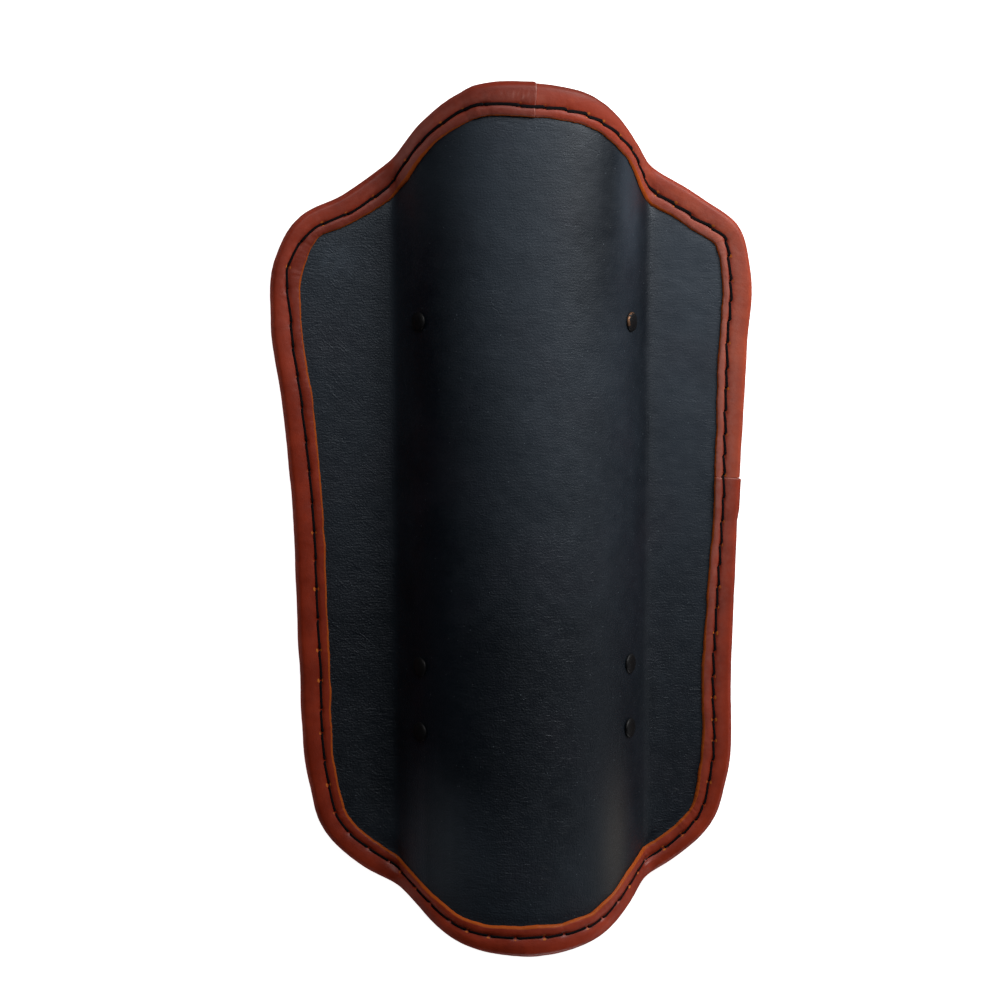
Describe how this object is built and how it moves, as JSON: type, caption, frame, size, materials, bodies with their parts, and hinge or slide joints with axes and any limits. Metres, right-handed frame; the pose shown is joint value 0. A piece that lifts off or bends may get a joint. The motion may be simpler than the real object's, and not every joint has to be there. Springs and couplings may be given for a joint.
{
  "type": "hand pavise",
  "caption": "Narrow hand shield with a hollow round-topped ridge, a canvas-faced board, a stitched leather rim and leather grips behind, lying on its back.",
  "frame": {"origin": "middle of the bounding box, on the level plane that the back of the rim lies on", "axes": "+Z out of the front of the shield, +Y along the ridge towards the shield's top, +X to the right as seen from the front"},
  "size_m": [0.371, 0.6556, 0.0864],
  "materials": {
    "painted_wood": "matt black-brown paint over wood",
    "painted_canvas": "matt black paint over woven canvas",
    "rim_leather": "dyed red-brown, satin",
    "pale_rim_leather": "dyed lighter red-brown, satin",
    "waxed_thread": "black waxed thread",
    "rivet_iron": "worn black paint",
    "washer_steel": "dull",
    "strap_leather": "brown, satin"
  },
  "bodies": {
    "root": {"board": "painted_wood", "canvas_facing": "painted_canvas", "edge_binding_main": "rim_leather", "edge_binding_short": "pale_rim_leather", "seam_thread_front": "waxed_thread", "seam_thread_back": "waxed_thread", "rivet_upper_left": "rivet_iron", "rivet_upper_right": "rivet_iron", "rivet_middle_left": "rivet_iron", "rivet_middle_right": "rivet_iron", "rivet_lower_left": "rivet_iron", "rivet_lower_right": "rivet_iron", "washer_upper_left": "washer_steel", "washer_upper_right": "washer_steel", "washer_middle_left": "washer_steel", "washer_middle_right": "washer_steel", "washer_lower_left": "washer_steel", "washer_lower_right": "washer_steel", "hand_strap": "strap_leather", "forearm_strap": "strap_leather"}
  },
  "joints": []
}
